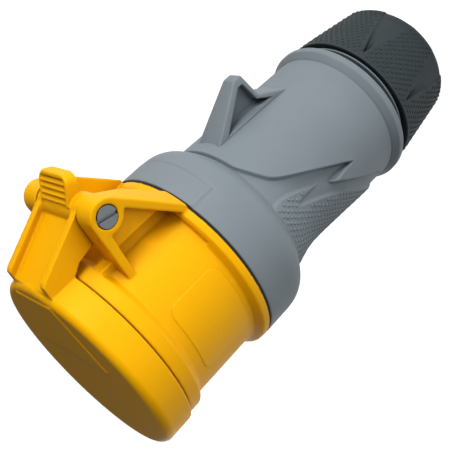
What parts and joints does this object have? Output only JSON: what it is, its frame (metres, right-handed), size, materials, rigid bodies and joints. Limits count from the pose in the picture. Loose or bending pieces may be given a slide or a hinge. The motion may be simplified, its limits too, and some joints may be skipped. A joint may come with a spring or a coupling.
{
  "type": "industrial cable coupler",
  "caption": "Hand-wired pin-and-sleeve connector socket with a sprung hinged lid, a moulded rear housing with a hooked fin and grip pads, and a cable gland nut.",
  "frame": {"origin": "centre of the cable opening at the gland nut's open end, which the part stands on", "axes": "+Z along the coupler's axis from the cable opening to the lid, -Y towards the lid's hinge, +X along the hinge pin from its head to its plain end"},
  "size_m": [0.065, 0.0859, 0.1588],
  "materials": {
    "yellow_front": "moulded yellow nylon, satin with glossier flat fields",
    "grey_housing": "moulded grey nylon, satin, with fine raised nubs on the grip pads",
    "grey_carrier": "moulded grey insulating plastic, matt",
    "dark_nut": "moulded dark grey nylon with a grip of fine raised nubs",
    "pale_plastic": "moulded pale grey acetal",
    "seal_rubber": "black elastomer, matt",
    "contact_brass": "turned brass, plain",
    "steel": "zinc-plated steel",
    "spring_steel": "drawn stainless wire and strip"
  },
  "bodies": {
    "nut": {"gland_nut": "dark_nut"},
    "thrust": {"thrust_ring": "pale_plastic"},
    "housing": {"rear_housing": "grey_housing", "front_collar": "yellow_front", "body_gasket": "seal_rubber", "contact_carrier": "grey_carrier", "contact_retainer": "grey_carrier", "retainer_screws": "steel", "contact_earth": "contact_brass", "contact_line_1": "contact_brass", "contact_line_2": "contact_brass", "line_spring_rings": "spring_steel", "earth_spring_ring": "spring_steel", "terminal_screws": "steel", "hinge_pin": "steel", "lid_spring": "spring_steel", "cable_seal": "seal_rubber", "clamp_claws": "pale_plastic"},
    "lid": {"hinged_lid": "yellow_front", "lid_gasket": "seal_rubber"}
  },
  "joints": [
    {"name": "gland_nut_turn", "type": "hinge", "parent": "nut", "child": "thrust", "pos_m": [0, 0, 0], "axis": [0, 0, 1], "range_deg": [0, 1800]},
    {"name": "gland_nut_lift", "type": "slide", "parent": "thrust", "child": "housing", "axis": [0, 0, 1], "range_m": [0, 0.015]},
    {"name": "lid_hinge", "type": "hinge", "parent": "housing", "child": "lid", "pos_m": [0, -0.042, 0.1343], "axis": [1, 0, 0], "range_deg": [0, 110], "stiffness_Nm_per_rad": 0.04, "springref_deg": -40.11, "deforming": ["lid_spring"]}
  ],
  "couplings": [
    {"joint": "gland_nut_lift", "follows": "gland_nut_turn", "m_per_rad": 0.00047746}
  ]
}
